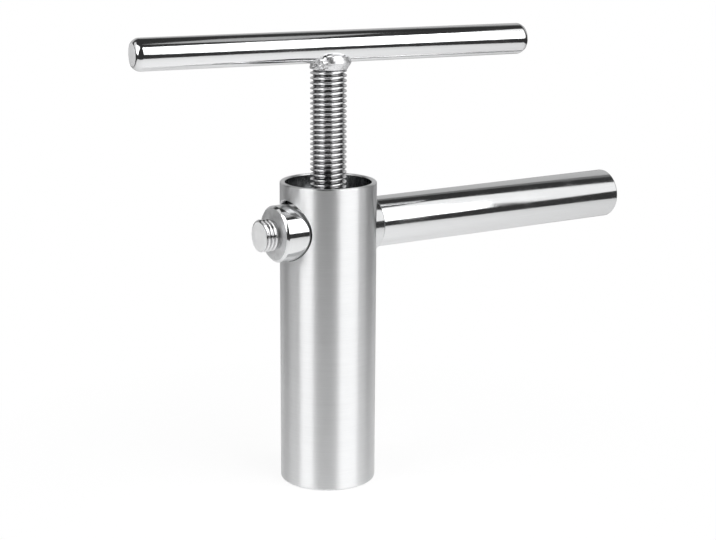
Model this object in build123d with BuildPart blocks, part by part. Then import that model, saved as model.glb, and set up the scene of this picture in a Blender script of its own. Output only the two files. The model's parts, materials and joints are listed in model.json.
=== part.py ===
"""Hand-cranked wheatgrass juicer: a steel barrel press with a tee screw and a side handle.

Frame: millimetres, +Z up. The origin is the centre of the barrel's bottom end, where it stands on a table.
The side handle points along +X. The tee screw turns and travels along Z, the barrel's own axis.
"""
from build123d import *
from math import cos, radians, sin, tan
import os

os.makedirs("parts", exist_ok=True)

# ---------------------------------------------------------------- driving dimensions

# Barrel: a plain tube, packed with chopped grass, that stands on its lower end.
barrel_radius = 24.0
barrel_wall = 2.5
barrel_height = 153.5
barrel_rim_chamfer = 0.5
barrel_foot_round = 1.4

# Base: a ledge ring welded in the foot, with the strainer and its fine screen dropped on it.
outlet_radius = 18.0
ledge_height = 4.0
weld_gap = 0.05
drop_in_clearance = 0.3
strainer_thickness = 3.0
strainer_hole_radius = 1.0
strainer_ring_step = 3.8
screen_thickness = 0.5
screen_hole_radius = 0.5
screen_ring_step = 2.0
hole_land = 1.2

# Cross bar: a round bar through both side holes, tapped through its middle for the press screw.
bar_radius = 14.0
bar_drop = 23.5
bar_hole_clearance = 1.0
bar_rest_gap = 0.1
bar_hole_chamfer = 0.4
stud_side_stand_out = 7.4
handle_side_stand_out = 0.5
bar_end_chamfer = 1.1

# Studs on both ends of the cross bar, and the thread that they share with the handle.
stud_thread_radius = 8.0
stud_pitch = 2.0
stud_relief_width = 1.4
stud_end_chamfer = 0.4
free_stud_length = 8.1
handle_stud_length = 18.0

# Press screw: its thread, and the journal that turns in the plunger.
screw_thread_radius = 9.0
screw_pitch = 2.5
screw_start_angle = 55.0
journal_radius = 7.0
journal_clearance = 0.06
journal_end_gap = 0.1

# Thread form, shared by both sizes: 60 degrees, with crests an eighth of the pitch wide.
thread_half_angle = 30.0
thread_depth_per_pitch = 0.6134
crest_width_per_pitch = 0.125
thread_root_overlap = 0.2
thread_play = 0.5
cutter_margin = 1.0

# Plunger: a disc that fits the bore, with a hub that holds the screw's journal.
plunger_thickness = 8.0
plunger_clearance = 0.3
plunger_edge_chamfer = 0.8
hub_radius = 12.5
hub_height = 11.0
thrust_washer_thickness = 1.5
thrust_washer_hole_radius = 2.0
snap_wire_radius = 0.7
snap_wire_play = 0.3
snap_groove_gap = 0.1
snap_split_angle = 40.0

# Press travel: whole turns from the pose in which it stands here until the hub is just under the bar.
turns_up = 15
raised_gap = 1.5
hub_to_shoulder_gap = 0.5

# Tee bar: a solid rod welded across the top of the screw, a little off its middle.
tee_radius = 7.8
tee_length = 207.6
tee_offset = 4.6
tee_lift = 66.1
tee_yaw = -7.56
tee_end_chamfer_along = 2.5
tee_end_chamfer_across = 1.6

# Weld bead between the tee bar and the screw.
weld_drop = 2.9
weld_climb = 3.4
weld_foot_radius = 9.3
weld_shoulder_radius = 11.2
weld_shoulder_drop = 0.6
weld_top_radius = 9.8

# Side handle: a tube with a threaded bush at its inner end and a plug in its outer end.
handle_radius = 12.7
handle_wall = 1.5
handle_length = 152.5
handle_end_round = 0.7
handle_washer_thickness = 1.0
handle_washer_radius = 12.2
handle_washer_seat_gap = 0.1
bush_length = 22.0
bush_recess_play = 0.3
bush_recess_depth = 2.5
plug_length = 5.0
plug_edge_chamfer = 0.5

# ---------------------------------------------------------------- places worked out from them

bore_radius = barrel_radius - barrel_wall
bar_axis_z = barrel_height - bar_drop
bar_left_x = -(barrel_radius + stud_side_stand_out)
bar_right_x = barrel_radius + handle_side_stand_out
tee_axis_z = barrel_height + tee_lift

strainer_top_z = ledge_height + strainer_thickness
screen_top_z = strainer_top_z + screen_thickness

plunger_z = bar_axis_z - bar_radius - raised_gap - turns_up * screw_pitch - hub_height - plunger_thickness
hub_z = plunger_z + plunger_thickness
hub_top_z = hub_z + hub_height
journal_z = hub_z + thrust_washer_thickness + journal_end_gap
snap_wire_z = (journal_z + hub_top_z) / 2
screw_shoulder_z = hub_top_z + hub_to_shoulder_gap
thread_bottom_z = screw_shoulder_z + screw_pitch / 2

screw_root_radius = screw_thread_radius - thread_depth_per_pitch * screw_pitch
stud_root_radius = stud_thread_radius - thread_depth_per_pitch * stud_pitch
weld_foot_z = tee_axis_z - tee_radius - weld_drop

handle_start_x = bar_right_x + handle_washer_seat_gap + handle_washer_thickness
handle_bore_radius = handle_radius - handle_wall

bar_plane = Plane.YZ
tee_plane = Plane(origin=(0, 0, tee_axis_z), z_dir=(cos(radians(tee_yaw)), sin(radians(tee_yaw)), 0))


# ---------------------------------------------------------------- helpers


def thread_ridge(crest_radius, depth, pitch, turns, start, plane=Plane.XY, play=0.0, start_angle=0.0):
    """One helical ridge of a 60-degree thread, which is fused on a core or cut from a bore.

    The ridge's middle leaves plane at the given distance from it. With play it is moved outwards and
    made no narrower, so the groove that it cuts stays clear of the same ridge without play.
    """
    half_crest = crest_width_per_pitch * pitch / 2
    reach = depth + thread_root_overlap
    half_root = half_crest + reach * tan(radians(thread_half_angle))
    inner = crest_radius + play - reach
    outer = crest_radius + play
    corners = [(inner, -half_root), (outer, -half_crest), (outer, half_crest), (inner, half_root)]
    helices = [Edge.make_helix(pitch, turns * pitch, radius, center=(0, 0, start + offset))
               for radius, offset in corners]
    faces = [Face.make_surface_from_curves(helices[i], helices[(i + 1) % 4]) for i in range(4)]
    faces += [Face(Wire.make_polygon([helix @ end for helix in helices], close=True)) for end in (0, 1)]
    ridge = Solid(Shell(faces)).rotate(Axis.Z, start_angle)
    return ridge.moved(plane.location)


def ring_of_holes(step, limit):
    """Radius and number of holes of each ring of an even round pattern, from the middle outwards."""
    rings = [(0.0, 1)]
    while rings[-1][0] + step <= limit:
        number = len(rings)
        rings.append((number * step, 6 * number))
    return rings


def write(part, name):
    """Label a finished piece and write its file."""
    part.label = name
    export_step(part, f"parts/{name}.step")


# ---------------------------------------------------------------- barrel and base

bar_hole_radius = bar_radius + bar_hole_clearance
bar_hole_z = bar_axis_z + bar_hole_clearance - bar_rest_gap

with BuildPart() as press_barrel:
    with BuildSketch():
        Circle(barrel_radius)
        Circle(bore_radius, mode=Mode.SUBTRACT)
    extrude(amount=barrel_height)
    chamfer(press_barrel.edges().group_by(Axis.Z)[-1], barrel_rim_chamfer)
    foot_edges = press_barrel.edges().group_by(Axis.Z)[0]
    fillet(foot_edges.sort_by(SortBy.RADIUS)[-1], barrel_foot_round)
    with BuildSketch(bar_plane.offset(-2 * barrel_radius)):
        with Locations((0, bar_hole_z)):
            Circle(bar_hole_radius)
    extrude(amount=4 * barrel_radius, mode=Mode.SUBTRACT)
    outer_wall = press_barrel.faces().filter_by(GeomType.CYLINDER).sort_by(SortBy.AREA)[-1]
    curved_edges = outer_wall.edges().filter_by(GeomType.LINE, reverse=True)
    chamfer(curved_edges.filter_by(GeomType.CIRCLE, reverse=True), bar_hole_chamfer)
write(press_barrel.part, "press_barrel")

with BuildPart() as base_ring:
    with BuildSketch():
        Circle(bore_radius - weld_gap)
        Circle(outlet_radius, mode=Mode.SUBTRACT)
    extrude(amount=ledge_height)
write(base_ring.part, "base_ring")

with BuildPart() as strainer_plate:
    with BuildSketch(Plane.XY.offset(ledge_height)):
        Circle(bore_radius - drop_in_clearance)
        for ring_radius, holes in ring_of_holes(strainer_ring_step, outlet_radius - hole_land):
            with PolarLocations(ring_radius, holes):
                Circle(strainer_hole_radius, mode=Mode.SUBTRACT)
    extrude(amount=strainer_thickness)
write(strainer_plate.part, "strainer_plate")

with BuildPart() as filter_screen:
    with BuildSketch(Plane.XY.offset(strainer_top_z)):
        Circle(bore_radius - drop_in_clearance)
        for ring_radius, holes in ring_of_holes(screen_ring_step, outlet_radius - hole_land):
            with PolarLocations(ring_radius, holes):
                Circle(screen_hole_radius, mode=Mode.SUBTRACT)
    extrude(amount=screen_thickness)
write(filter_screen.part, "filter_screen")

# ---------------------------------------------------------------- cross bar


def threaded_stud(length):
    """A stud along +Z from its shoulder: a relief groove, then thread to a lightly chamfered end."""
    depth = stud_thread_radius - stud_root_radius
    turns = (length - stud_relief_width) / stud_pitch + 1
    ridge = thread_ridge(stud_thread_radius, depth, stud_pitch, turns, stud_relief_width + stud_pitch / 2)
    end_radius = stud_thread_radius - stud_end_chamfer
    cutter_radius = stud_thread_radius + cutter_margin
    cutter_top = length + 4 * stud_pitch
    with BuildPart() as stud:
        with BuildSketch():
            Circle(stud_root_radius)
        extrude(amount=length + 3 * stud_pitch)
        add(ridge)
        with BuildSketch(Plane.XZ):
            with BuildLine():
                Polyline(
                    (0, length),
                    (end_radius, length),
                    (cutter_radius, length - stud_end_chamfer - cutter_margin),
                    (cutter_radius, cutter_top),
                    (0, cutter_top),
                    close=True,
                )
            make_face()
        revolve(axis=Axis.Z, mode=Mode.SUBTRACT)
    return stud.part


free_stud = threaded_stud(free_stud_length)
handle_stud = threaded_stud(handle_stud_length)
left_shoulder = Plane(origin=(bar_left_x, 0, bar_axis_z), z_dir=(-1, 0, 0))
right_shoulder = Plane(origin=(bar_right_x, 0, bar_axis_z), z_dir=(1, 0, 0))

screw_thread_depth = screw_thread_radius - screw_root_radius
turns_below_bar = int((bar_axis_z - bar_radius - thread_bottom_z) / screw_pitch) - 1
tapping = thread_ridge(
    screw_thread_radius,
    screw_thread_depth,
    screw_pitch,
    turns=int(2 * bar_radius / screw_pitch) + 4,
    start=thread_bottom_z + turns_below_bar * screw_pitch,
    play=thread_play,
    start_angle=screw_start_angle,
)

with BuildPart() as cross_bar:
    with BuildSketch(bar_plane.offset(bar_left_x)):
        with Locations((0, bar_axis_z)):
            Circle(bar_radius)
    extrude(amount=bar_right_x - bar_left_x)
    chamfer(cross_bar.edges().group_by(Axis.X)[0], bar_end_chamfer)
    with BuildSketch(Plane.XY.offset(bar_axis_z - 2 * bar_radius)):
        Circle(screw_root_radius + thread_play)
    extrude(amount=4 * bar_radius, mode=Mode.SUBTRACT)
    add(tapping, mode=Mode.SUBTRACT)
    add(free_stud.moved(left_shoulder.location))
    add(handle_stud.moved(right_shoulder.location))
write(cross_bar.part, "cross_bar")

# ---------------------------------------------------------------- press screw, tee bar and weld

screw_turns = (weld_foot_z - screw_pitch / 2 - thread_bottom_z) / screw_pitch
screw_thread = thread_ridge(
    screw_thread_radius,
    screw_thread_depth,
    screw_pitch,
    turns=screw_turns,
    start=thread_bottom_z,
    start_angle=screw_start_angle,
)
journal_groove_radius = journal_radius + snap_groove_gap - snap_wire_radius - snap_wire_play

with BuildPart() as press_screw:
    with BuildSketch(Plane.XY.offset(journal_z)):
        Circle(journal_radius)
    extrude(amount=screw_shoulder_z - journal_z)
    with BuildSketch(Plane.XY.offset(snap_wire_z - snap_wire_radius - snap_wire_play)):
        Circle(journal_radius + cutter_margin)
        Circle(journal_groove_radius, mode=Mode.SUBTRACT)
    extrude(amount=2 * (snap_wire_radius + snap_wire_play), mode=Mode.SUBTRACT)
    with BuildSketch(Plane.XY.offset(screw_shoulder_z)):
        Circle(screw_root_radius)
    extrude(amount=tee_axis_z - screw_shoulder_z)
    with BuildSketch(tee_plane.offset(-2 * screw_thread_radius)):
        Circle(tee_radius + weld_gap)
    extrude(amount=4 * screw_thread_radius, mode=Mode.SUBTRACT)
    add(screw_thread)
write(press_screw.part, "press_screw")

with BuildPart() as tee_bar:
    with BuildSketch(tee_plane.offset(tee_offset - tee_length / 2)):
        Circle(tee_radius)
    extrude(amount=tee_length)
    for end_face in tee_bar.faces().filter_by(GeomType.PLANE):
        chamfer(end_face.edges(), tee_end_chamfer_across, tee_end_chamfer_along, reference=end_face)
write(tee_bar.part, "tee_bar")

with BuildPart() as tee_weld:
    weld_top_z = weld_foot_z + weld_drop + weld_climb
    with BuildSketch(Plane.XZ):
        with BuildLine():
            Polyline(
                (screw_root_radius + weld_gap, weld_foot_z),
                (weld_foot_radius, weld_foot_z),
                (weld_shoulder_radius, weld_foot_z + weld_drop + weld_shoulder_drop),
                (weld_top_radius, weld_top_z),
                (screw_root_radius + weld_gap, weld_top_z),
                close=True,
            )
        make_face()
    revolve(axis=Axis.Z)
    with BuildSketch(tee_plane.offset(-2 * weld_shoulder_radius)):
        Circle(tee_radius + weld_gap)
    extrude(amount=4 * weld_shoulder_radius, mode=Mode.SUBTRACT)
write(tee_weld.part, "tee_weld")

# ---------------------------------------------------------------- plunger

hub_bore_radius = journal_radius + journal_clearance
snap_ring_radius = journal_radius + snap_groove_gap
hub_groove_radius = snap_ring_radius + snap_wire_radius + snap_groove_gap
hub_groove_height = 2 * (snap_wire_radius + snap_groove_gap)

with BuildPart() as plunger_disc:
    with BuildSketch(Plane.XY.offset(plunger_z)):
        Circle(bore_radius - plunger_clearance)
    extrude(amount=plunger_thickness)
    chamfer(plunger_disc.edges(), plunger_edge_chamfer)
write(plunger_disc.part, "plunger_disc")

with BuildPart() as plunger_hub:
    with BuildSketch(Plane.XY.offset(hub_z)):
        Circle(hub_radius)
        Circle(hub_bore_radius, mode=Mode.SUBTRACT)
    extrude(amount=hub_height)
    with BuildSketch(Plane.XY.offset(snap_wire_z - hub_groove_height / 2)):
        Circle(hub_groove_radius)
    extrude(amount=hub_groove_height, mode=Mode.SUBTRACT)
    hub_rim = plunger_hub.edges().group_by(Axis.Z)[-1].sort_by(SortBy.RADIUS)[-1]
    chamfer(hub_rim, plunger_edge_chamfer)
write(plunger_hub.part, "plunger_hub")

with BuildPart() as thrust_washer:
    with BuildSketch(Plane.XY.offset(hub_z)):
        Circle(journal_radius)
        Circle(thrust_washer_hole_radius, mode=Mode.SUBTRACT)
    extrude(amount=thrust_washer_thickness)
write(thrust_washer.part, "thrust_washer")

with BuildPart() as snap_ring:
    with BuildSketch(Plane.XZ):
        with Locations((snap_ring_radius, snap_wire_z)):
            Circle(snap_wire_radius)
    revolve(axis=Axis.Z, revolution_arc=360 - snap_split_angle)
write(snap_ring.part, "snap_ring")

# ---------------------------------------------------------------- side handle

handle_plane = Plane(origin=(handle_start_x, 0, bar_axis_z), z_dir=(1, 0, 0))
washer_plane = right_shoulder.offset(handle_washer_seat_gap)

with BuildPart() as handle_washer:
    with BuildSketch(washer_plane):
        Circle(handle_washer_radius)
        Circle(stud_thread_radius + drop_in_clearance, mode=Mode.SUBTRACT)
    extrude(amount=handle_washer_thickness)
write(handle_washer.part, "handle_washer")

bush_tapping = thread_ridge(
    stud_thread_radius,
    stud_thread_radius - stud_root_radius,
    stud_pitch,
    turns=int(bush_length / stud_pitch) + 2,
    start=stud_relief_width + stud_pitch / 2,
    plane=right_shoulder,
    play=thread_play,
)

with BuildPart() as handle_bush:
    with BuildSketch(handle_plane):
        Circle(handle_bore_radius - weld_gap)
        Circle(stud_root_radius + thread_play, mode=Mode.SUBTRACT)
    extrude(amount=bush_length)
    add(bush_tapping, mode=Mode.SUBTRACT)
    with BuildSketch(handle_plane):
        Circle(stud_thread_radius + thread_play + bush_recess_play)
    extrude(amount=bush_recess_depth, mode=Mode.SUBTRACT)
write(handle_bush.part, "handle_bush")

with BuildPart() as handle_tube:
    with BuildSketch(handle_plane):
        Circle(handle_radius)
        Circle(handle_bore_radius, mode=Mode.SUBTRACT)
    extrude(amount=handle_length)
    outer_end_edge = handle_tube.edges().group_by(Axis.X)[-1].sort_by(SortBy.RADIUS)[-1]
    fillet(outer_end_edge, handle_end_round)
write(handle_tube.part, "handle_tube")

with BuildPart() as handle_plug:
    with BuildSketch(handle_plane.offset(handle_length - plug_length)):
        Circle(handle_bore_radius - weld_gap)
    extrude(amount=plug_length)
    chamfer(handle_plug.edges().group_by(Axis.X)[-1], plug_edge_chamfer)
write(handle_plug.part, "handle_plug")
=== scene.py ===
"""Looks of a hand-cranked screw press juicer: brushed barrel, polished bars, threads, weld and studio.

The barrel stands on the origin, the press screw runs along Z and the side handle points along +X, as in the
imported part. Blender works in metres. The sizes of the pieces are in millimetres, as on a maker's drawing.
"""

import json
import logging
import math
from collections.abc import Callable
from dataclasses import dataclass, field
from enum import Enum
from functools import cache
from typing import Any

import bmesh
import bpy
from mathutils import Matrix, Vector, noise

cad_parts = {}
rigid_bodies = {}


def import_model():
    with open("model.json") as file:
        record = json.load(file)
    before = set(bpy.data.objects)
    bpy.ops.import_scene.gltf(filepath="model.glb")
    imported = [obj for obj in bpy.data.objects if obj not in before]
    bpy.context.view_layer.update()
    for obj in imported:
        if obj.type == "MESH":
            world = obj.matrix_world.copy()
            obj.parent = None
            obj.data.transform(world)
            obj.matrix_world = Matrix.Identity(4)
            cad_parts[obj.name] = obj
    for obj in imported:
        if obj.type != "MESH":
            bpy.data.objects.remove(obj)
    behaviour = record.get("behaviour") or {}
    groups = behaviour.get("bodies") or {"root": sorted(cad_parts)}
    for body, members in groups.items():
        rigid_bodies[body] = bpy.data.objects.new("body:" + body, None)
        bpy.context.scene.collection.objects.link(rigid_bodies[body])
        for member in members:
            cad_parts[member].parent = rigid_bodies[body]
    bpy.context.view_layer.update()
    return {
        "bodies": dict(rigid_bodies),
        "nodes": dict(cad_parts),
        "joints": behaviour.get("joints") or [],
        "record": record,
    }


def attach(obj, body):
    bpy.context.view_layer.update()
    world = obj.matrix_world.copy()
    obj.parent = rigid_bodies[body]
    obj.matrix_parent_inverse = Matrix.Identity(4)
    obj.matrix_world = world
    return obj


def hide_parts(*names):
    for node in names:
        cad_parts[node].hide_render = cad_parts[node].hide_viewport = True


LOG = logging.getLogger("juicer")
MM = 0.001
TAU = 2 * math.pi
Frame = dict[str, Any]
Point = tuple[float, float, float]
Outline = list[tuple[float, float]]


# ---------------------------------------------------------------- shader nodes


@dataclass
class NodeSheet:
    """A shader node tree, with short calls that add nodes to it and link them."""

    tree: bpy.types.NodeTree

    def add(self, kind: str, values: dict[str | int, Any] | None = None, **settings: Any) -> bpy.types.Node:
        """Add a node.

        Args:
            kind: Its type.
            values: The fixed values of its inputs, by name or number.
            **settings: Its own settings, such as operation, which are made before its values.

        Returns:
            The new node.
        """
        node = self.tree.nodes.new(kind)
        for name, value in settings.items():
            setattr(node, name, value)
        for socket, value in (values or {}).items():
            node.inputs[socket].default_value = value
        return node

    def link(self, source: bpy.types.NodeSocket, target: bpy.types.NodeSocket) -> None:
        """Link an output to an input."""
        self.tree.links.new(source, target)

    def entry(self, name: str) -> bpy.types.NodeSocket:
        """Return one input of the node group, to link from."""
        return self.tree.nodes["Group Input"].outputs[name]

    def leave(self, source: bpy.types.NodeSocket, name: str) -> None:
        """Link an output to one output of the node group."""
        self.link(source, self.tree.nodes["Group Output"].inputs[name])

    def radius(self, vector: bpy.types.NodeSocket) -> bpy.types.NodeSocket:
        """Add the nodes that give a point's distance from the Z axis.

        Args:
            vector: The output that gives the point.

        Returns:
            The output that gives the distance.
        """
        flat = self.add("ShaderNodeVectorMath", {1: (1, 1, 0)}, operation="MULTIPLY")
        self.link(vector, flat.inputs[0])
        length = self.add("ShaderNodeVectorMath", operation="LENGTH")
        self.link(flat.outputs["Vector"], length.inputs[0])
        return length.outputs["Value"]

    def sharpened(
        self, grain: bpy.types.NodeSocket, low: float = 0.3, high: float = 0.7
    ) -> bpy.types.NodeSocket:
        """Add the node that spreads the middle values of a noise from 0 to 1.

        Args:
            grain: The output that gives the noise.
            low: The value that becomes 0.
            high: The value that becomes 1.

        Returns:
            The output that gives the spread values.
        """
        spread = self.add("ShaderNodeMapRange", {"From Min": low, "From Max": high})
        self.link(grain, spread.inputs["Value"])
        return spread.outputs["Result"]


def new_material(name: str) -> tuple[bpy.types.Material, NodeSheet]:
    """Start a material with no nodes in it.

    Args:
        name: Its name.

    Returns:
        The material and the sheet of its nodes.
    """
    made = bpy.data.materials.new(name)
    made.use_nodes = True
    made.node_tree.nodes.clear()
    return made, NodeSheet(made.node_tree)


def new_group(name: str, inputs: dict[str, float | None], outputs: tuple[str, ...]) -> NodeSheet:
    """Start a shader node group.

    Args:
        name: The group's name.
        inputs: The names of its inputs. A number makes a value with that default, and None a vector.
        outputs: The names of its outputs, each of them a value.

    Returns:
        The sheet of the new group, which holds its input and output nodes.
    """
    group = bpy.data.node_groups.new(name, "ShaderNodeTree")
    for label, default in inputs.items():
        kind = "NodeSocketVector" if default is None else "NodeSocketFloat"
        socket = group.interface.new_socket(label, in_out="INPUT", socket_type=kind)
        if default is not None:
            socket.default_value = default
    for label in outputs:
        group.interface.new_socket(label, in_out="OUTPUT", socket_type="NodeSocketFloat")
    group.nodes.new("NodeGroupInput")
    group.nodes.new("NodeGroupOutput")
    return NodeSheet(group)


MARK_INPUTS = {"Vector": None, "Pitch": 0.0003, "Length": 0.02}


def streak_group(name: str, fine_axes: tuple[bool, bool, bool]) -> bpy.types.ShaderNodeTree:
    """Build the group for straight marks: fine across some axes, drawn out along the others.

    Args:
        name: The group's name.
        fine_axes: For X, Y and Z, whether the marks are fine along that axis.

    Returns:
        A group that takes Vector, Pitch and Length and gives Mask and Tone.
    """
    sheet = new_group(name, MARK_INPUTS, ("Mask", "Tone"))
    fine, drawn = (sheet.add("ShaderNodeMath", {0: 1.0}, operation="DIVIDE") for _ in range(2))
    sheet.link(sheet.entry("Pitch"), fine.inputs[1])
    sheet.link(sheet.entry("Length"), drawn.inputs[1])
    scales = sheet.add("ShaderNodeCombineXYZ")
    for socket, is_fine in zip(scales.inputs, fine_axes):
        sheet.link((fine if is_fine else drawn).outputs["Value"], socket)
    stretched = sheet.add("ShaderNodeVectorMath", operation="MULTIPLY")
    sheet.link(sheet.entry("Vector"), stretched.inputs[0])
    sheet.link(scales.outputs["Vector"], stretched.inputs[1])
    hairs = sheet.add("ShaderNodeTexNoise", {"Scale": 1.0, "Detail": 3.0, "Roughness": 0.65})
    bands = sheet.add("ShaderNodeTexNoise", {"Scale": 0.17, "Detail": 2.0})
    for grain in (hairs, bands):
        sheet.link(stretched.outputs["Vector"], grain.inputs["Vector"])
    mask = sheet.sharpened(hairs.outputs["Fac"])
    hair_part = sheet.add("ShaderNodeMath", {1: 0.55}, operation="MULTIPLY")
    sheet.link(mask, hair_part.inputs[0])
    tone = sheet.add("ShaderNodeMath", {1: 0.45}, operation="MULTIPLY_ADD")
    sheet.link(bands.outputs["Fac"], tone.inputs[0])
    sheet.link(hair_part.outputs["Value"], tone.inputs[2])
    sheet.leave(mask, "Mask")
    sheet.leave(tone.outputs["Value"], "Tone")
    return sheet.tree


@cache
def around_group() -> bpy.types.ShaderNodeTree:
    """Return the group for marks that run round the axis."""
    return streak_group("marks_around", (False, False, True))


@cache
def along_group() -> bpy.types.ShaderNodeTree:
    """Return the group for marks that run along the axis."""
    return streak_group("marks_along", (True, True, False))


@cache
def even_group() -> bpy.types.ShaderNodeTree:
    """Return the group for a fine even grain."""
    return streak_group("marks_even", (True, True, True))


@cache
def rings_group() -> bpy.types.ShaderNodeTree:
    """Build the group for the rings that a lathe leaves on an end face.

    Returns:
        A group that takes Vector and Pitch and gives Mask and Tone. Its Length stays unused.
    """
    sheet = new_group("marks_rings", MARK_INPUTS, ("Mask", "Tone"))
    turns = sheet.add("ShaderNodeMath", operation="DIVIDE")
    sheet.link(sheet.radius(sheet.entry("Vector")), turns.inputs[0])
    sheet.link(sheet.entry("Pitch"), turns.inputs[1])
    rings = sheet.add("ShaderNodeTexNoise", {"Scale": 1.0, "Detail": 2.0}, noise_dimensions="1D")
    sheet.link(turns.outputs["Value"], rings.inputs["W"])
    patches = sheet.add("ShaderNodeTexNoise", {"Scale": 260.0, "Detail": 3.0})
    sheet.link(sheet.entry("Vector"), patches.inputs["Vector"])
    sheet.leave(sheet.sharpened(rings.outputs["Fac"]), "Mask")
    sheet.leave(patches.outputs["Fac"], "Tone")
    return sheet.tree


@cache
def smudge_group() -> bpy.types.ShaderNodeTree:
    """Return the group for the faint smudges that hands leave on bare metal: Vector in, Mask out."""
    sheet = new_group("smudges", {"Vector": None}, ("Mask",))
    broad = sheet.add("ShaderNodeTexNoise", {"Scale": 38.0, "Detail": 4.0, "Distortion": 0.6})
    sheet.link(sheet.entry("Vector"), broad.inputs["Vector"])
    sheet.leave(sheet.sharpened(broad.outputs["Fac"], 0.48, 0.68), "Mask")
    return sheet.tree


@cache
def groove_shade_group() -> bpy.types.ShaderNodeTree:
    """Build the group that tells the crests of a thread from its grooves, for the shade painted into them.

    Returns:
        A group that takes Vector and the radii Floor and Crest in metres, and gives Mask, which is 0 in a
        groove and 1 on a crest.
    """
    sheet = new_group("thread_groove_shade", {"Vector": None, "Floor": 0.007, "Crest": 0.009}, ("Mask",))
    rise = sheet.add("ShaderNodeMapRange", interpolation_type="SMOOTHSTEP")
    sheet.link(sheet.radius(sheet.entry("Vector")), rise.inputs["Value"])
    sheet.link(sheet.entry("Floor"), rise.inputs["From Min"])
    sheet.link(sheet.entry("Crest"), rise.inputs["From Max"])
    sheet.leave(rise.outputs["Result"], "Mask")
    return sheet.tree


# ---------------------------------------------------------------- finishes


class Marks(Enum):
    """Which way the tool marks of a finish run, seen from the piece's own axis."""

    AROUND = "around"
    ALONG = "along"
    RINGS = "rings"
    EVEN = "even"


MARK_GROUPS: dict[Marks, Callable[[], bpy.types.ShaderNodeTree]] = {
    Marks.AROUND: around_group,
    Marks.ALONG: along_group,
    Marks.RINGS: rings_group,
    Marks.EVEN: even_group,
}


@dataclass(frozen=True)
class Axis:
    """The axis that a piece is turned or brushed about, in metres in the frame of the part."""

    centre: Point = (0.0, 0.0, 0.0)
    direction: Point = (0.0, 0.0, 1.0)

    def placing(self) -> Matrix:
        """Return the matrix that takes a piece drawn along Z from the origin to this axis."""
        turn = Vector(self.direction).to_track_quat("Z", "Y").to_matrix().to_4x4()
        return Matrix.Translation(Vector(self.centre)) @ turn

    def place(self, made: bmesh.types.BMesh) -> None:
        """Take a mesh drawn along Z from the origin to this axis."""
        bmesh.ops.transform(made, matrix=self.placing(), verts=made.verts)


UPRIGHT = Axis()


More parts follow.
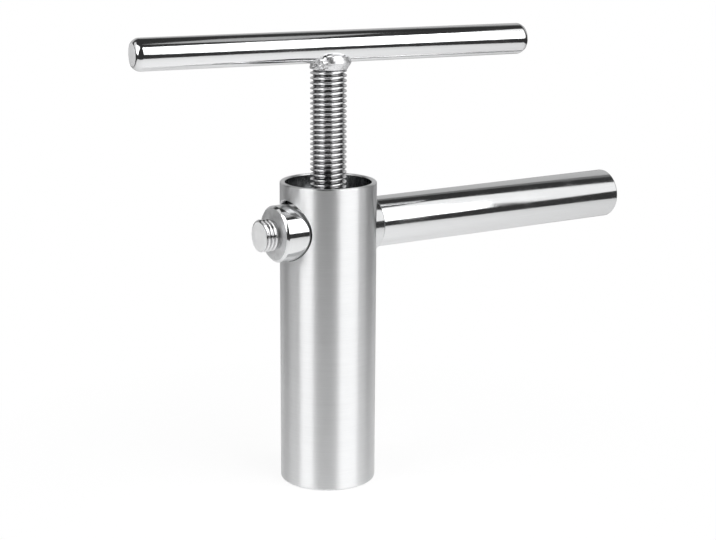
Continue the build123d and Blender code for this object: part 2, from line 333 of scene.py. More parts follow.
@dataclass(frozen=True)
class MetalFinish:
    """One bare metal surface: its colour, how sharp its reflections are and the marks left on it.

    The depth, pitch and length of the marks are in metres, and stretch_turn is a share of a full turn. On a
    thread, groove_floor and groove_crest are the radii in millimetres between which the colour rises from
    groove_painted_shade, a painted shade that darkens the grooves, to full.
    """

    name: str
    colour: tuple[float, float, float]
    roughness: float
    marks: Marks = Marks.EVEN
    axis: Axis = UPRIGHT
    roughness_spread: float = 0.06
    mark_depth: float = 0.00001
    mark_pitch: float = 0.00035
    mark_length: float = 0.02
    anisotropy: float = 0.0
    stretch_turn: float = 0.25
    smudge: float = 0.05
    tone_spread: float = 0.06
    groove_floor: float = 0.0
    groove_crest: float = 0.0
    groove_painted_shade: float = 0.2
    least_roughness: float = 0.02

    def material(self) -> bpy.types.Material:
        """Return the finish's material, which is built when it is first asked for."""
        known = bpy.data.materials.get(self.name)
        if known:
            return known
        made, sheet = new_material(self.name)
        shader = sheet.add("ShaderNodeBsdfPrincipled", {"Metallic": 1.0, "Anisotropic": self.anisotropy})
        output = sheet.add("ShaderNodeOutputMaterial")
        sheet.link(shader.outputs["BSDF"], output.inputs["Surface"])
        if self.anisotropy > 0:
            shader.inputs["Anisotropic Rotation"].default_value = self.stretch_turn
            tangent = sheet.add("ShaderNodeTangent", direction_type="RADIAL", axis="Z")
            sheet.link(tangent.outputs["Tangent"], shader.inputs["Tangent"])

        coordinates = sheet.add("ShaderNodeTexCoord")
        to_axis = {"Location": self.axis.centre, "Rotation": self.axis.placing().to_euler()}
        place = sheet.add("ShaderNodeMapping", to_axis, vector_type="TEXTURE")
        sheet.link(coordinates.outputs["Object"], place.inputs["Vector"])
        point = place.outputs["Vector"]
        spacing = {"Pitch": self.mark_pitch, "Length": self.mark_length}
        marks = sheet.add("ShaderNodeGroup", spacing, node_tree=MARK_GROUPS[self.marks]())
        sheet.link(point, marks.inputs["Vector"])

        sheet.link(self.roughness_output(sheet, point, marks.outputs["Mask"]), shader.inputs["Roughness"])
        sheet.link(self.colour_output(sheet, point, marks.outputs["Tone"]), shader.inputs["Base Color"])
        bump = sheet.add("ShaderNodeBump", {"Strength": 1.0, "Distance": self.mark_depth})
        sheet.link(marks.outputs["Mask"], bump.inputs["Height"])
        sheet.link(bump.outputs["Normal"], shader.inputs["Normal"])
        return made

    def roughness_output(
        self, sheet: NodeSheet, point: bpy.types.NodeSocket, mask: bpy.types.NodeSocket
    ) -> bpy.types.NodeSocket:
        """Add the nodes that make the marks and smudges rougher.

        Args:
            sheet: The material's nodes.
            point: The output that gives the point in the piece's own axis.
            mask: The output that gives the marks.

        Returns:
            The output that gives the roughness.
        """
        marked = sheet.add("ShaderNodeMapRange", {
            "To Min": max(self.least_roughness, self.roughness - self.roughness_spread),
            "To Max": self.roughness + self.roughness_spread,
        })
        sheet.link(mask, marked.inputs["Value"])
        smudges = sheet.add("ShaderNodeGroup", node_tree=smudge_group())
        sheet.link(point, smudges.inputs["Vector"])
        dulled = sheet.add("ShaderNodeMath", {1: self.smudge}, operation="MULTIPLY_ADD")
        sheet.link(smudges.outputs["Mask"], dulled.inputs[0])
        sheet.link(marked.outputs["Result"], dulled.inputs[2])
        return dulled.outputs["Value"]

    def colour_output(
        self, sheet: NodeSheet, point: bpy.types.NodeSocket, tone: bpy.types.NodeSocket
    ) -> bpy.types.NodeSocket:
        """Add the nodes that vary the colour with the marks and paint shade into a thread's grooves.

        Args:
            sheet: The material's nodes.
            point: The output that gives the point in the piece's own axis.
            tone: The output that gives the tone of the marks.

        Returns:
            The output that gives the colour.
        """
        darker = [c * (1 - self.tone_spread) for c in self.colour]
        lighter = [min(1.0, c * (1 + self.tone_spread)) for c in self.colour]
        metal = sheet.add("ShaderNodeMix", {"A": (*darker, 1), "B": (*lighter, 1)}, data_type="RGBA")
        sheet.link(tone, metal.inputs["Factor"])
        if self.groove_crest == 0:
            return metal.outputs["Result"]
        radii = {"Floor": self.groove_floor * MM, "Crest": self.groove_crest * MM}
        groove = sheet.add("ShaderNodeGroup", radii, node_tree=groove_shade_group())
        sheet.link(point, groove.inputs["Vector"])
        # Painted shade: the grooves get a darker copy of the colour, standing in for the shade deep in the
        # thread.
        shaded = [c * self.groove_painted_shade for c in self.colour]
        thread = sheet.add("ShaderNodeMix", {"A": (*shaded, 1)}, data_type="RGBA")
        sheet.link(groove.outputs["Mask"], thread.inputs["Factor"])
        sheet.link(metal.outputs["Result"], thread.inputs["B"])
        return thread.outputs["Result"]


# ---------------------------------------------------------------- mesh helpers


def in_scene(name: str, data: bpy.types.ID) -> bpy.types.Object:
    """Make an object of a mesh, a lamp or a camera and put it in the scene.

    Args:
        name: The object's name.
        data: What it shows.

    Returns:
        The new object.
    """
    made = bpy.data.objects.new(name, data)
    bpy.context.scene.collection.objects.link(made)
    return made


def finished(name: str, made: bmesh.types.BMesh) -> bpy.types.Mesh:
    """Turn a mesh being edited into a finished one.

    Args:
        name: The finished mesh's name.
        made: The mesh being edited, which is freed.

    Returns:
        The finished mesh.
    """
    mesh = bpy.data.meshes.new(name)
    made.to_mesh(mesh)
    made.free()
    return mesh


def take_in(made: bmesh.types.BMesh, other: bmesh.types.BMesh) -> None:
    """Add a second mesh to a first one.

    Args:
        made: The mesh that grows.
        other: The mesh that is added, which is freed.
    """
    passing = finished("passing", other)
    made.from_mesh(passing)
    bpy.data.meshes.remove(passing)


def turned(profile: Outline, segments: int = 96) -> bmesh.types.BMesh:
    """Spin an outline about the Z axis.

    Args:
        profile: Points (radius, height) in millimetres, in order round the section.
        segments: How many steps the full turn takes.

    Returns:
        A closed mesh with its faces outwards. Points on the axis become poles.
    """
    made = bmesh.new()
    points = [made.verts.new((radius * MM, 0, height * MM)) for radius, height in profile]
    is_ring = profile[0][0] > 0
    path = points + points[:1] if is_ring else points
    edges = [made.edges.new(pair) for pair in zip(path, path[1:])]
    bmesh.ops.spin(
        made, geom=points + edges, cent=(0, 0, 0), axis=(0, 0, 1), angle=TAU, steps=segments, use_merge=True
    )
    bmesh.ops.remove_doubles(made, verts=made.verts, dist=1e-7)
    bmesh.ops.recalc_face_normals(made, faces=made.faces)
    return made


def round_edges(
    made: bmesh.types.BMesh, edges: list[bmesh.types.BMEdge], width: float, segments: int
) -> None:
    """Round some edges of a mesh.

    Args:
        made: The mesh.
        edges: The edges.
        width: The width of the rounding in millimetres.
        segments: How many steps it takes.
    """
    bmesh.ops.bevel(
        made, geom=edges, offset=width * MM, offset_type="OFFSET", affect="EDGES", segments=segments,
        profile=0.5, material=-1,
    )


def soften(made: bmesh.types.BMesh, width: float, least_angle: float = 25.0) -> None:
    """Round the sharp edges of a mesh a little.

    Args:
        made: The mesh.
        width: The width of the rounding in millimetres.
        least_angle: Edges where the surface turns by more than this many degrees are rounded.
    """
    sharp = [e for e in made.edges if e.is_manifold and e.calc_face_angle(0) > math.radians(least_angle)]
    round_edges(made, sharp, width, 2)


def whole(made: bmesh.types.BMesh) -> list[bmesh.types.BMVert | bmesh.types.BMEdge | bmesh.types.BMFace]:
    """Return every point, edge and face of a mesh."""
    return list(made.verts) + list(made.edges) + list(made.faces)


def cut_flat(made: bmesh.types.BMesh, height: float, side: int) -> None:
    """Cut a rod along Z square and close its end.

    Args:
        made: The rod.
        height: Where it is cut, in millimetres.
        side: 1 if what is above goes, -1 if what is below goes.
    """
    bmesh.ops.bisect_plane(
        made, geom=whole(made), dist=1e-7, plane_co=(0, 0, height * MM), plane_no=(0, 0, side),
        clear_outer=True,
    )
    rim = [
        e for e in made.edges
        if e.is_boundary and all(abs(v.co.z - height * MM) < 1e-6 for v in e.verts)
    ]
    bmesh.ops.holes_fill(made, edges=rim, sides=0)


@dataclass(frozen=True)
class ThreadForm:
    """A rolled thread: crest and root radius and pitch in millimetres, with rounded crests and roots.

    The half widths and the roundings are shares of the pitch.
    """

    crest_radius: float
    root_radius: float
    pitch: float
    half_crest: float = 0.0625
    half_root: float = 0.417
    crest_round: float = 0.1
    root_round: float = 0.14

    def section(self) -> Outline:
        """Return one pitch of the outline as (radius, height), from root to root."""
        flank = [
            (-0.5, 0.0),
            (-self.half_root - self.root_round * 0.3, 0.015),
            (-self.half_root + self.root_round * 0.6, 0.15),
            (-self.half_crest - self.crest_round, 0.83),
            (-self.half_crest - self.crest_round * 0.35, 0.955),
        ]
        shape = flank + [(0.0, 1.0)] + [(-along, share) for along, share in reversed(flank)]
        depth = self.crest_radius - self.root_radius
        return [(self.root_radius + share * depth, along * self.pitch) for along, share in shape]

    def rod(
        self, low: float, high: float, crest_z: float, crest_angle: float, steps: int = 72
    ) -> bmesh.types.BMesh:
        """Build a length of threaded rod along Z.

        Args:
            low: Height of its lower end, in millimetres.
            high: Height of its upper end.
            crest_z: A height at which the crest passes crest_angle.
            crest_angle: That angle in degrees, from +X.
            steps: How many steps each turn takes.

        Returns:
            A closed rod with a flat face at each end.
        """
        turns_before = math.ceil((crest_z - low) / self.pitch) + 1
        turns = turns_before + math.ceil((high - crest_z) / self.pitch) + 1
        first = crest_z - turns_before * self.pitch
        made = bmesh.new()
        points = [made.verts.new((r * MM, 0, (first + z) * MM)) for r, z in self.section()]
        edges = [made.edges.new(pair) for pair in zip(points, points[1:])]
        bmesh.ops.spin(
            made, geom=points + edges, cent=(0, 0, 0), axis=(0, 0, 1), dvec=(0, 0, self.pitch * MM / steps),
            angle=TAU, steps=steps, use_merge=False,
        )
        built = 1
        while built < turns:
            copied = bmesh.ops.duplicate(made, geom=whole(made))["geom"]
            moved = [e for e in copied if isinstance(e, bmesh.types.BMVert)]
            bmesh.ops.translate(made, verts=moved, vec=(0, 0, built * self.pitch * MM))
            built *= 2
        bmesh.ops.remove_doubles(made, verts=made.verts, dist=2e-6)
        turn = Matrix.Rotation(math.radians(crest_angle), 3, "Z")
        bmesh.ops.rotate(made, verts=made.verts, cent=(0, 0, 0), matrix=turn)
        cut_flat(made, low, -1)
        cut_flat(made, high, 1)
        bmesh.ops.recalc_face_normals(made, faces=made.faces)
        return made


def on_wall(point: Vector, radius: float, play: float = 0.03) -> bool:
    """Tell whether a point lies on an upright round wall.

    Args:
        point: The point, in metres.
        radius: The wall's radius in millimetres.
        play: How far off the wall it may be, in millimetres.

    Returns:
        True if it does.
    """
    return abs(math.hypot(point.x, point.y) / MM - radius) < play


def round_walls(mesh: bpy.types.Mesh, radii: tuple[float, ...]) -> None:
    """Shade the upright round walls of a mesh as true cylinders about Z, whatever its triangles are.

    Args:
        mesh: The mesh.
        radii: The radii of its walls in millimetres.
    """
    normals = [corner.vector.copy() for corner in mesh.corner_normals]
    for polygon in mesh.polygons:
        points = [mesh.vertices[i].co for i in polygon.vertices]
        if not any(all(on_wall(p, r) for p in points) for r in radii):
            continue
        for corner, point in zip(polygon.loop_indices, points):
            out = Vector((point.x, point.y, 0)).normalized()
            normals[corner] = out if out.dot(polygon.normal) > 0 else -out
    mesh.normals_split_custom_set(normals)


def piece(
    name: str,
    made: bmesh.types.BMesh,
    body: str,
    finishes: list[MetalFinish],
    nodes: tuple[str, ...] = (),
    walls: tuple[float, ...] = (),
    sharp_angle: float = 38.0,
) -> bpy.types.Object:
    """Turn a mesh into a dressed object that rides on a body of the part.

    Args:
        name: The new object's name.
        made: Its mesh in the frame of the part, which is freed.
        body: The body that it moves with.
        finishes: Its finishes, in the order of the mesh's material numbers.
        nodes: The nodes of the part that it stands for.
        walls: The radii in millimetres of its upright round walls, if its triangles are long ones.
        sharp_angle: Edges where the surface turns by more than this many degrees stay sharp.

    Returns:
        The new object, smooth shaded apart from its sharp edges.
    """
    mesh = finished(name, made)
    for finish in finishes:
        mesh.materials.append(finish.material())
    mesh.shade_smooth()
    mesh.set_sharp_from_angle(angle=math.radians(sharp_angle))
    if walls:
        round_walls(mesh, walls)
    made_object = in_scene(name, mesh)
    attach(made_object, body)
    if nodes:
        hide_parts(*nodes)
    LOG.info("%s: %d faces, on %s", name, len(mesh.polygons), body)
    return made_object


def smoothed(frame: Frame, node: str) -> bmesh.types.BMesh:
    """Copy a node of the part and join its loose triangles.

    Args:
        frame: The loaded frame.
        node: The node's name.

    Returns:
        The joined copy.
    """
    made = bmesh.new()
    made.from_mesh(frame["nodes"][node].data)
    bmesh.ops.remove_doubles(made, verts=made.verts, dist=1e-6)
    return made


def dress(frame: Frame, node: str, finish: MetalFinish) -> None:
    """Give a node of the part its finish.

    Args:
        frame: The loaded frame.
        node: The node's name.
        finish: The finish.
    """
    mesh = frame["nodes"][node].data
    mesh.materials.clear()
    mesh.materials.append(finish.material())
    LOG.info("%s: dressed as it is", node)


def ends_apart(made: bmesh.types.BMesh, axis: Axis, least_slope: float = 0.97) -> None:
    """Give the faces that look along an axis the mesh's second material.

    Args:
        made: The mesh, already in place.
        axis: The axis.
        least_slope: How closely a face has to look along the axis, as a cosine.
    """
    along = Vector(axis.direction).normalized()
    for face in made.faces:
        face.normal_update()
        if abs(face.normal.dot(along)) > least_slope:
            face.material_index = 1


# ---------------------------------------------------------------- sub-assemblies


BAR_AXIS_Z = 130.0


@dataclass
class PressBarrel:
    """The barrel with its welded ledge, strainer and screen."""

    body: str = "barrel"
    outer_radius: float = 24.0
    bore_radius: float = 21.5
    brushed: MetalFinish = MetalFinish(
        "barrel_brushed", (0.79, 0.795, 0.8), 0.38, Marks.AROUND, anisotropy=1.0, mark_depth=0.000001,
        roughness_spread=0.04, smudge=0.01, mark_length=0.012, tone_spread=0.05,
    )
    # Painted shade: the bore is given a dark colour, standing in for the shade inside the tube.
    drawn: MetalFinish = MetalFinish(
        "barrel_bore_painted_shade", (0.2, 0.205, 0.21), 0.22, Marks.ALONG, mark_depth=0.000004, roughness_spread=0.08,
    )
    turned_steel: MetalFinish = MetalFinish("ledge_turned", (0.62, 0.63, 0.64), 0.3, Marks.RINGS)
    drilled_steel: MetalFinish = MetalFinish("strainer_brushed", (0.6, 0.61, 0.62), 0.28, Marks.ALONG)
    thin_sheet: MetalFinish = MetalFinish(
        "screen_sheet", (0.55, 0.56, 0.57), 0.4, Marks.EVEN, mark_pitch=0.0006,
    )

    def build(self, frame: Frame) -> None:
        """Make the barrel smooth and dress the pieces in its foot.

        Args:
            frame: The loaded frame.
        """
        tube = smoothed(frame, "press_barrel")
        for face in tube.faces:
            if all(on_wall(v.co, self.bore_radius) for v in face.verts):
                face.material_index = 1
        piece("barrel_tube", tube, self.body, [self.brushed, self.drawn], ("press_barrel",),
              (self.outer_radius, self.bore_radius))
        ledge = smoothed(frame, "base_ring")
        piece("ledge_ring", ledge, self.body, [self.turned_steel], ("base_ring",))
        dress(frame, "strainer_plate", self.drilled_steel)
        dress(frame, "filter_screen", self.thin_sheet)


@dataclass
class CrossBar:
    """The polished bar through the barrel, with a threaded stud on each end."""

    body: str = "barrel"
    axis_z: float = BAR_AXIS_Z
    radius: float = 14.0
    left_x: float = -31.4
    right_x: float = 24.5
    chamfer: float = 1.1
    edge_round: float = 0.12
    relief_radius: float = 6.77
    relief_width: float = 1.4
    free_stud: float = 8.1
    handle_stud: float = 18.0
    stud_chamfer: float = 0.35
    neck_in_bar: float = 1.0
    neck_in_thread: float = 0.3
    crest_land: float = 0.2
    thread: ThreadForm = ThreadForm(8.0, 6.77, 2.0)

    def axis(self) -> Axis:
        """Return the bar's axis, which points to the free stud."""
        return Axis((0.0, 0.0, self.axis_z * MM), (-1.0, 0.0, 0.0))

    def bar_finishes(self) -> list[MetalFinish]:
        """Return the finish of the bar's round surfaces and that of its end faces."""
        return [
            MetalFinish(
                "bar_polished", (0.74, 0.745, 0.75), 0.1, Marks.AROUND, self.axis(), smudge=0.06,
                mark_depth=0.000002, roughness_spread=0.03,
            ),
            MetalFinish(
                "bar_end_turned", (0.74, 0.745, 0.75), 0.5, Marks.RINGS, self.axis(), mark_depth=0.000015,
                tone_spread=0.3,
            ),
        ]

    def stud_finishes(self) -> list[MetalFinish]:
        """Return the finish of the studs' threads and that of their end faces."""
        return [
            MetalFinish(
                "stud_thread", (0.8, 0.8, 0.81), 0.15, Marks.AROUND, self.axis(), mark_depth=0.000004,
                # groove_floor, groove_crest and groove_painted_shade paint shade into the thread's grooves
                groove_floor=self.relief_radius, groove_crest=self.thread.crest_radius - self.crest_land,
                groove_painted_shade=0.45,
            ),
            MetalFinish(
                "stud_end_faced", (0.96, 0.965, 0.97), 0.75, Marks.RINGS, self.axis(), mark_depth=0.000012,
            ),
        ]

    def stud(self, shoulder: float, length: float, sign: int) -> bmesh.types.BMesh:
        """Build one stud with its relief groove and chamfered end.

        Args:
            shoulder: Distance of its shoulder from the barrel's axis, along the bar.
            length: Its length.
            sign: 1 for the free stud, -1 for the one in the handle.

        Returns:
            The stud, in place.
        """
        made = self.thread.rod(self.relief_width, length, self.relief_width + self.thread.pitch / 2, 0.0)
        for vert in made.verts:
            past = vert.co.z / MM - (length - self.stud_chamfer)
            reach = math.hypot(vert.co.x, vert.co.y) / MM
            limit = self.thread.crest_radius - past
            if past > 0 and reach > limit:
                vert.co.x *= limit / reach
                vert.co.y *= limit / reach
        neck_top = self.relief_width + self.neck_in_thread
        take_in(made, turned([
            (0, -self.neck_in_bar),
            (self.relief_radius, -self.neck_in_bar),
            (self.relief_radius, neck_top),
            (0, neck_top),
        ]))
        Axis((-sign * shoulder * MM, 0, self.axis_z * MM), (-sign, 0, 0)).place(made)
        ends_apart(made, self.axis())
        return made

    def build(self, frame: Frame) -> None:
        """Build the bar and both studs.

        Args:
            frame: The loaded frame, which is not used.
        """
        bar = turned([
            (0, -self.right_x),
            (self.radius, -self.right_x),
            (self.radius, -self.left_x - self.chamfer),
            (self.radius - self.chamfer, -self.left_x),
            (0, -self.left_x),
        ], 128)
        soften(bar, self.edge_round)
        self.axis().place(bar)
        ends_apart(bar, self.axis())
        piece("bar_body", bar, self.body, self.bar_finishes(), ("cross_bar",))
        for name, shoulder, length, sign in (
            ("free_stud", -self.left_x, self.free_stud, 1),
            ("handle_stud", self.right_x, self.handle_stud, -1),
        ):
            piece(name, self.stud(shoulder, length, sign), self.body, self.stud_finishes())


@dataclass
class PressScrew:
    """The threaded rod that drives the plunger, with its plain journal below."""

    body: str = "screw"
    thread: ThreadForm = ThreadForm(9.0, 7.47, 2.5)
    journal_radius: float = 7.0
    groove_radius: float = 6.1
    journal_z: float = 67.6
    groove_low: float = 71.3
    groove_high: float = 73.3
    shoulder_z: float = 77.5
    journal_in_rod: float = 0.2
    top_z: float = 216.0
    crest_z: float = 78.75
    crest_angle: float = 55.0
    finish: MetalFinish = MetalFinish(
        "screw_rolled", (0.82, 0.82, 0.83), 0.13, Marks.AROUND, mark_depth=0.000003, roughness_spread=0.04,
        # groove_floor, groove_crest and groove_painted_shade paint shade into the thread's grooves
        smudge=0.08, tone_spread=0.12, groove_floor=7.5, groove_crest=8.8, groove_painted_shade=0.4,
    )

    def build(self, frame: Frame) -> None:
        """Build the rod and its journal as one piece.

        Args:
            frame: The loaded frame, which is not used.
        """
        rod = self.thread.rod(self.shoulder_z, self.top_z, self.crest_z, self.crest_angle)
        take_in(rod, turned([
            (0, self.journal_z),
            (self.journal_radius, self.journal_z),
            (self.journal_radius, self.groove_low),
            (self.groove_radius, self.groove_low),
            (self.groove_radius, self.groove_high),
            (self.journal_radius, self.groove_high),
            (self.journal_radius, self.shoulder_z + self.journal_in_rod),
            (0, self.shoulder_z + self.journal_in_rod),
        ], 64))
        piece("screw_rod", rod, self.body, [self.finish], ("press_screw",))


@dataclass
class TeeBar:
    """The solid bar across the top of the screw."""

    body: str = "screw"
    axis_z: float = 219.6
    yaw: float = -7.56
    radius: float = 7.8
    length: float = 207.6
    offset: float = 4.6
    end_along: float = 2.5
    end_across: float = 1.6
    end_round: float = 0.8
    end_round_angle: float = 20.0

    def axis(self) -> Axis:
        """Return the bar's axis, which points to its end over the handle."""
        yaw = math.radians(self.yaw)
        return Axis((0.0, 0.0, self.axis_z * MM), (math.cos(yaw), math.sin(yaw), 0.0))

    def finishes(self) -> list[MetalFinish]:
        """Return the finish of the round surface and that of the end faces."""
        return [
            MetalFinish(
                "tee_polished", (0.76, 0.765, 0.77), 0.09, Marks.ALONG, self.axis(), smudge=0.07,
                mark_depth=0.000002, roughness_spread=0.03,
            ),
            MetalFinish(
                "tee_end_turned", (0.96, 0.965, 0.97), 0.75, Marks.RINGS, self.axis(), mark_depth=0.000015,
            ),
        ]

    def build(self, frame: Frame) -> None:
        """Build the bar with its chamfered ends.

        Args:
            frame: The loaded frame, which is not used.
        """
        low, high = self.offset - self.length / 2, self.offset + self.length / 2
        bar = turned([
            (0, low),
            (self.radius - self.end_across, low),
            (self.radius, low + self.end_along),
            (self.radius, high - self.end_along),
            (self.radius - self.end_across, high),
            (0, high),
        ], 128)
        soften(bar, self.end_round, self.end_round_angle)
        self.axis().place(bar)
        ends_apart(bar, self.axis())
        piece("tee_rod", bar, self.body, self.finishes(), ("tee_bar",))


@dataclass
class WeldBead:
    """The bead between the tee bar and the screw, dressed smooth on one side and pebbled on the other.

    flared and dressed are directions seen from above: where the bead swells out most, and where it is
    smoothest.
    """

    body: str = "screw"
    foot_z: float = 208.9
    shoulder_z: float = 212.4
    top_z: float = 215.2
    foot_radius: float = 9.3
    foot_swell: float = 0.5
    foot_rise: float = 0.9
    shoulder_radius: float = 11.2
    shoulder_swell: float = 0.5
    shoulder_rise: float = 1.2
    top_radius: float = 9.8
    core_radius: float = 7.52
    core_skin: float = 0.6
    flush_radius: float = 9.15
    flared: tuple[float, float] = (0.84, -0.54)
    flare_middle: float = 0.45
    flare_gain: float = 1.1
    dressed: tuple[float, float] = (0.35, -0.94)
    pebble_size: float = 0.9
    pebble_depth: float = 0.55
    pebble_middle: float = 0.75
    pebble_least: float = 0.1
    finish: MetalFinish = MetalFinish(
        "weld_metal", (0.76, 0.76, 0.77), 0.28, Marks.EVEN, mark_pitch=0.0012, mark_length=0.0012,
        mark_depth=0.00006, roughness_spread=0.1, tone_spread=0.2,
    )

    def build(self, frame: Frame) -> None:
        """Build the bead and raise its pebbles.

        Args:
            frame: The loaded frame, which is not used.
        """
        bead = turned([
            (self.core_radius, self.foot_z),
            (self.foot_radius, self.foot_z),
            (self.foot_radius + self.foot_swell, self.foot_z + self.foot_rise),
            (self.shoulder_radius - self.shoulder_swell, self.shoulder_z - self.shoulder_rise),
            (self.shoulder_radius, self.shoulder_z),
            (self.top_radius, self.top_z),
            (self.core_radius, self.top_z),
        ], 160)
        rising = [e for e in bead.edges if abs(e.verts[0].co.z - e.verts[1].co.z) > 1e-5]
        bmesh.ops.subdivide_edges(bead, edges=rising, cuts=7, use_grid_fill=True)
        self.shape(bead)
        piece("weld_collar", bead, self.body, [self.finish], ("tee_weld",))

    def shape(self, bead: bmesh.types.BMesh) -> None:
        """Draw the bead in to the screw where it doesn't flare, and raise its pebbles.

        Args:
            bead: The bead's mesh.
        """
        dressed = Vector((*self.dressed, 0)).normalized()
        flared = Vector((*self.flared, 0))
        for vert in bead.verts:
            out = Vector((vert.co.x, vert.co.y, 0))
            reach = out.length / MM
            if reach < self.core_radius + self.core_skin:
                continue
            out.normalize()
            swell = min(1.0, max(0.0, self.flare_middle + self.flare_gain * out.dot(flared)))
            vert.co -= out * (reach - min(reach, self.flush_radius)) * (1 - swell) * MM
            rough = min(1.0, max(0.0, self.pebble_middle - out.dot(dressed)))
            lump = noise.noise(vert.co / (self.pebble_size * MM)) - 0.5
            vert.co += out * lump * self.pebble_depth * MM * (self.pebble_least + rough)


@dataclass
class Plunger:
    """The disc on the end of the screw, with the hub that holds its journal."""

    body: str = "plunger"
    turned_steel: MetalFinish = MetalFinish("plunger_turned", (0.64, 0.65, 0.66), 0.24, Marks.RINGS)
    bronze: MetalFinish = MetalFinish("washer_bronze", (0.6, 0.38, 0.17), 0.3, Marks.RINGS)
    wire: MetalFinish = MetalFinish("ring_wire", (0.3, 0.3, 0.32), 0.35, Marks.EVEN)

    def build(self, frame: Frame) -> None:
        """Make the disc and hub smooth, and dress the small pieces inside.

        Args:
            frame: The loaded frame.
        """
        for name, node in (("plunger_head", "plunger_disc"), ("plunger_collar", "plunger_hub")):
            piece(name, smoothed(frame, node), self.body, [self.turned_steel], (node,))
        dress(frame, "thrust_washer", self.bronze)
        dress(frame, "snap_ring", self.wire)


@dataclass
class SideHandle:
    """The tube that the user holds, with its bush, plug and washer."""

    body: str = "side_handle"
    axis_z: float = BAR_AXIS_Z
    start_x: float = 25.6
    length: float = 152.5
    radius: float = 12.7
    wall: float = 1.5
    end_round: float = 0.7
    plug_length: float = 5.0
    plug_edge: float = 0.5
    plug_gap: float = 0.05

    def axis(self) -> Axis:
        """Return the handle's axis, which points away from the barrel."""
        return Axis((0.0, 0.0, self.axis_z * MM), (1.0, 0.0, 0.0))

    def sleeve(self, bore: float, end_x: float) -> bmesh.types.BMesh:
        """Build the tube, with a rounded edge at its outer end.

        Args:
            bore: The radius of its bore.
            end_x: Distance of its outer end from the barrel's axis.

        Returns:
            The tube, in place.
        """
        tube = turned([
            (bore, self.start_x),
            (self.radius, self.start_x),
            (self.radius, end_x),
            (bore, end_x),
        ], 128)
        middle = bore + self.wall / 2
        outer = [
            e for e in tube.edges
            if all(v.co.z > (end_x - self.wall) * MM and v.co.xy.length > middle * MM for v in e.verts)
        ]
        round_edges(tube, outer, self.end_round, 4)
        self.axis().place(tube)
        return tube

    def plug(self, bore: float, end_x: float) -> bmesh.types.BMesh:
        """Build the plug in the tube's outer end.

        Args:
            bore: The radius of the tube's bore.
            end_x: Distance of the tube's outer end from the barrel's axis.

        Returns:
            The plug, in place.
        """
        radius = bore - self.plug_gap
        made = turned([
            (0, end_x - self.plug_length),
            (radius, end_x - self.plug_length),
            (radius, end_x - self.plug_edge),
            (radius - self.plug_edge, end_x),
            (0, end_x),
        ])
        self.axis().place(made)
        return made

    def build(self, frame: Frame) -> None:
        """Build the tube and plug, and dress the bush and washer.

        Args:
            frame: The loaded frame.
        """
        bore, end_x, axis = self.radius - self.wall, self.start_x + self.length, self.axis()
        polish = MetalFinish(
            "handle_polished", (0.76, 0.765, 0.77), 0.1, Marks.ALONG, axis, smudge=0.08, mark_depth=0.000002,
            roughness_spread=0.03,
        )
        faced = MetalFinish("plug_turned", (0.66, 0.665, 0.67), 0.26, Marks.RINGS, axis)
        bored = MetalFinish("bush_turned", (0.6, 0.61, 0.62), 0.3, Marks.RINGS, axis)
        stamped = MetalFinish("washer_stamped", (0.5, 0.51, 0.52), 0.35, Marks.RINGS, axis)
        sleeve = self.sleeve(bore, end_x)
        piece("handle_sleeve", sleeve, self.body, [polish], ("handle_tube",))
        piece("handle_end", self.plug(bore, end_x), self.body, [faced], ("handle_plug",))
        dress(frame, "handle_bush", bored)
        dress(frame, "handle_washer", stamped)


# ---------------------------------------------------------------- studio


@dataclass(frozen=True)
class Softbox:
    """A soft lamp that faces the object.

    bearing is the angle in degrees from the camera's side, to the right as the camera sees it, and height the
    angle above the table. Distance and size are in metres, and radiance is how bright its face looks.
    """

    name: str
    bearing: float
    height: float
    distance: float
    size: tuple[float, float]
    radiance: float


@dataclass(frozen=True)
class Card:
    """An evenly lit card that faces the object and is only seen in reflections, placed as a Softbox is."""

    name: str
    bearing: float
    height: float
    distance: float
    size: tuple[float, float]
    tone: float


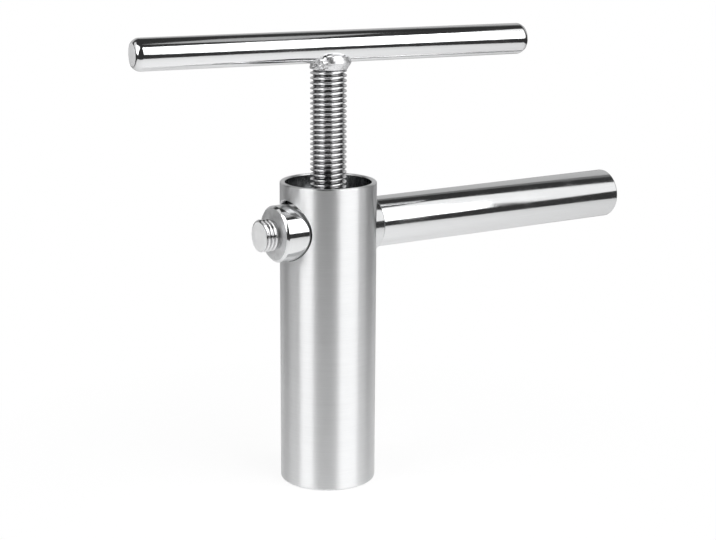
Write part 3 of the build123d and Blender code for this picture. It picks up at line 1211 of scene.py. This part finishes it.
@dataclass
class Studio:
    """White table, soft lamps, grey cards and the camera of the photograph.

    Tones run from 0, black, to 1, white. Places and lengths are in metres and angles in degrees. The paper is
    shaded round the barrel's foot from shade_near to shade_far.
    """

    camera_place: Point = (-0.4345, -0.6994, 0.30626)
    camera_azimuth: float = -32.89
    camera_pitch: float = 13.52
    camera_roll: float = 0.35
    lens: float = 85.19
    sensor_width: float = 36.0
    aim: Point = (0.02, 0.0, 0.13)
    ground_size: float = 8.0
    ground_drop: float = 0.002
    table_front: float = 0.45
    table_side: float = 0.6
    table_back: float = 0.75
    table_drop: float = 0.0002
    # paper_tone to paper_edge_painted_shade: the paper's colour painted darker towards the table's edge, a
    # painted shade
    paper_tone: float = 0.98
    paper_edge_painted_shade: float = 0.55
    shade_near: float = 0.04
    shade_far: float = 0.22
    shade_tone: float = 0.85
    room_tone: float = 0.04
    fill_tone: float = 0.5
    lamps: list[Softbox] = field(default_factory=lambda: [
        Softbox("lamp_left", -53.0, 29.0, 1.2, (0.74, 1.0), 3.0),
        Softbox("lamp_left_side", -92.0, 29.0, 1.2, (0.62, 1.0), 0.8),
        Softbox("lamp_right", 53.0, 32.0, 1.2, (1.1, 1.1), 3.0),
        Softbox("lamp_right_side", 92.0, 30.0, 1.2, (0.5, 1.0), 1.05),
    ])
    cards: list[Card] = field(default_factory=lambda: [
        Card("backdrop_card", 180.0, 19.0, 1.5, (3.6, 1.2), 0.55),
        Card("backdrop_top", 180.0, 45.0, 1.5, (3.0, 0.24), 0.2),
        Card("ceiling_card", 94.0, 74.0, 1.2, (0.5, 0.3), 0.5),
    ])

    def forward(self) -> Vector:
        """Return the direction in which the camera looks."""
        azimuth, pitch = math.radians(self.camera_azimuth), math.radians(self.camera_pitch)
        level = math.cos(pitch)
        return Vector((-math.sin(azimuth) * level, math.cos(azimuth) * level, -math.sin(pitch)))

    def facing(self, placed: Softbox | Card) -> Matrix:
        """Work out where a lamp or card stands.

        Args:
            placed: The lamp or card.

        Returns:
            The matrix that puts it round the point aimed at, facing it along its own -Z.
        """
        towards = -self.forward()
        turn = math.atan2(towards.y, towards.x) + math.radians(placed.bearing)
        lift = math.radians(placed.height)
        out = Vector((math.cos(turn) * math.cos(lift), math.sin(turn) * math.cos(lift), math.sin(lift)))
        centre = Vector(self.aim) + out * placed.distance
        return Matrix.Translation(centre) @ out.to_track_quat("Z", "Y").to_matrix().to_4x4()

    def build_camera(self) -> None:
        """Set up the camera of the photograph."""
        data = bpy.data.cameras.new("photo_camera")
        data.lens = self.lens
        data.sensor_width = self.sensor_width
        data.clip_start, data.clip_end = 0.01, 20.0
        camera = in_scene("photo_camera", data)
        azimuth, roll = math.radians(self.camera_azimuth), math.radians(self.camera_roll)
        forward = self.forward()
        right = Vector((math.cos(azimuth), math.sin(azimuth), 0))
        up = right.cross(forward)
        rolled_right = math.cos(roll) * right + math.sin(roll) * up
        rolled_up = -math.sin(roll) * right + math.cos(roll) * up
        turn = Matrix((rolled_right, rolled_up, -forward)).transposed().to_4x4()
        camera.matrix_world = Matrix.Translation(Vector(self.camera_place)) @ turn
        bpy.context.scene.camera = camera

    def build_lamp(self, lamp: Softbox) -> None:
        """Add one soft lamp.

        Args:
            lamp: What it is like.
        """
        data = bpy.data.lights.new(lamp.name, "AREA")
        data.shape = "RECTANGLE"
        data.size, data.size_y = lamp.size
        data.energy = lamp.radiance * math.pi * lamp.size[0] * lamp.size[1]
        in_scene(lamp.name, data).matrix_world = self.facing(lamp)

    def build_card(self, card: Card) -> None:
        """Add one card.

        Args:
            card: What it is like.
        """
        made = bmesh.new()
        bmesh.ops.create_grid(made, x_segments=1, y_segments=1, size=0.5)
        bmesh.ops.scale(made, verts=made.verts, vec=(*card.size, 1))
        bmesh.ops.transform(made, verts=made.verts, matrix=self.facing(card))
        mesh = finished(card.name, made)
        material, sheet = new_material(card.name)
        glow = sheet.add("ShaderNodeEmission", {"Color": (card.tone, card.tone, card.tone, 1)})
        output = sheet.add("ShaderNodeOutputMaterial")
        sheet.link(glow.outputs["Emission"], output.inputs["Surface"])
        mesh.materials.append(material)
        placed = in_scene(card.name, mesh)
        placed.visible_camera = False
        placed.visible_diffuse = False
        placed.visible_shadow = False

    def paper(self) -> bpy.types.Material:
        """Build the table's paper.

        Returns:
            A material that reflections see greyer towards the table's edge, a painted shade for the light
            falling off there, and that the camera sees near white, a little shaded round the barrel's foot.
        """
        made, sheet = new_material("table_paper")
        paint = sheet.add("ShaderNodeBsdfDiffuse")
        glow = sheet.add("ShaderNodeEmission")
        coordinates = sheet.add("ShaderNodeTexCoord")
        distance = sheet.add("ShaderNodeVectorMath", operation="LENGTH")
        sheet.link(coordinates.outputs["Object"], distance.inputs[0])
        seen = sheet.add("ShaderNodeMapRange", {
            "From Min": self.shade_near,
            "From Max": self.shade_far,
            "To Min": self.shade_tone,
            "To Max": 1.0,
        })
        # Painted shade: the paper's colour darkens from paper_tone to paper_edge_painted_shade away from the
        # barrel, standing in for the light falling off towards the table's edge.
        reflected = sheet.add("ShaderNodeMapRange", {
            "From Max": self.table_side,
            "To Min": self.paper_tone,
            "To Max": self.paper_edge_painted_shade,
        })
        for tone in (seen, reflected):
            sheet.link(distance.outputs["Value"], tone.inputs["Value"])
        sheet.link(reflected.outputs["Result"], paint.inputs["Color"])
        path = sheet.add("ShaderNodeLightPath")
        share = sheet.add("ShaderNodeMath", operation="MULTIPLY")
        sheet.link(path.outputs["Is Camera Ray"], share.inputs[0])
        sheet.link(seen.outputs["Result"], share.inputs[1])
        mix = sheet.add("ShaderNodeMixShader")
        sheet.link(share.outputs["Value"], mix.inputs["Fac"])
        sheet.link(paint.outputs["BSDF"], mix.inputs[1])
        sheet.link(glow.outputs["Emission"], mix.inputs[2])
        output = sheet.add("ShaderNodeOutputMaterial")
        sheet.link(mix.outputs["Shader"], output.inputs["Surface"])
        return made

    def build_floor(self) -> None:
        """Add the white table and, round and under it, the ground that reflections leave out."""
        paper = self.paper()
        table = bmesh.new()
        bmesh.ops.create_grid(table, x_segments=1, y_segments=1, size=0.5)
        depth = self.table_front + self.table_back
        bmesh.ops.scale(table, verts=table.verts, vec=(2 * self.table_side, depth, 1))
        bmesh.ops.translate(table, verts=table.verts, vec=(0, depth / 2 - self.table_front, -self.table_drop))
        turn = Matrix.Rotation(math.radians(self.camera_azimuth), 3, "Z")
        bmesh.ops.rotate(table, verts=table.verts, cent=(0, 0, 0), matrix=turn)
        ground = bmesh.new()
        bmesh.ops.create_grid(ground, x_segments=1, y_segments=1, size=self.ground_size / 2)
        bmesh.ops.translate(ground, verts=ground.verts, vec=(0, 0, -self.ground_drop))
        for name, made, is_reflected in (("table_top", table, True), ("ground", ground, False)):
            mesh = finished(name, made)
            mesh.materials.append(paper)
            placed = in_scene(name, mesh)
            placed.visible_glossy = is_reflected

    def build_world(self) -> None:
        """Make the room: white where the camera sees it, dark in reflections and grey as fill light."""
        world = bpy.data.worlds.new("studio_room")
        bpy.context.scene.world = world
        world.use_nodes = True
        world.node_tree.nodes.clear()
        sheet = NodeSheet(world.node_tree)
        path = sheet.add("ShaderNodeLightPath")
        fill, room, seen = (
            sheet.add("ShaderNodeBackground", {"Color": (tone, tone, tone, 1)}).outputs["Background"]
            for tone in (self.fill_tone, self.room_tone, 1.0)
        )
        mixed = fill
        for shade, ray in ((room, "Is Glossy Ray"), (seen, "Is Camera Ray")):
            mix = sheet.add("ShaderNodeMixShader")
            sheet.link(path.outputs[ray], mix.inputs["Fac"])
            sheet.link(mixed, mix.inputs[1])
            sheet.link(shade, mix.inputs[2])
            mixed = mix.outputs["Shader"]
        output = sheet.add("ShaderNodeOutputWorld")
        sheet.link(mixed, output.inputs["Surface"])

    def build(self) -> None:
        """Build the whole studio."""
        bpy.context.scene.view_settings.view_transform = "Standard"
        self.build_camera()
        self.build_world()
        self.build_floor()
        for lamp in self.lamps:
            self.build_lamp(lamp)
        for card in self.cards:
            self.build_card(card)
        LOG.info("studio: %d lamps and %d cards", len(self.lamps), len(self.cards))


def main() -> None:
    """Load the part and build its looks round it."""
    logging.basicConfig(level=logging.INFO, format="%(name)s: %(message)s")
    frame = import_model()
    for assembly in (PressBarrel(), CrossBar(), PressScrew(), TeeBar(), WeldBead(), Plunger(), SideHandle()):
        assembly.build(frame)
        LOG.info("%s is built", type(assembly).__name__)
    Studio().build()


if __name__ == "__main__":
    main()
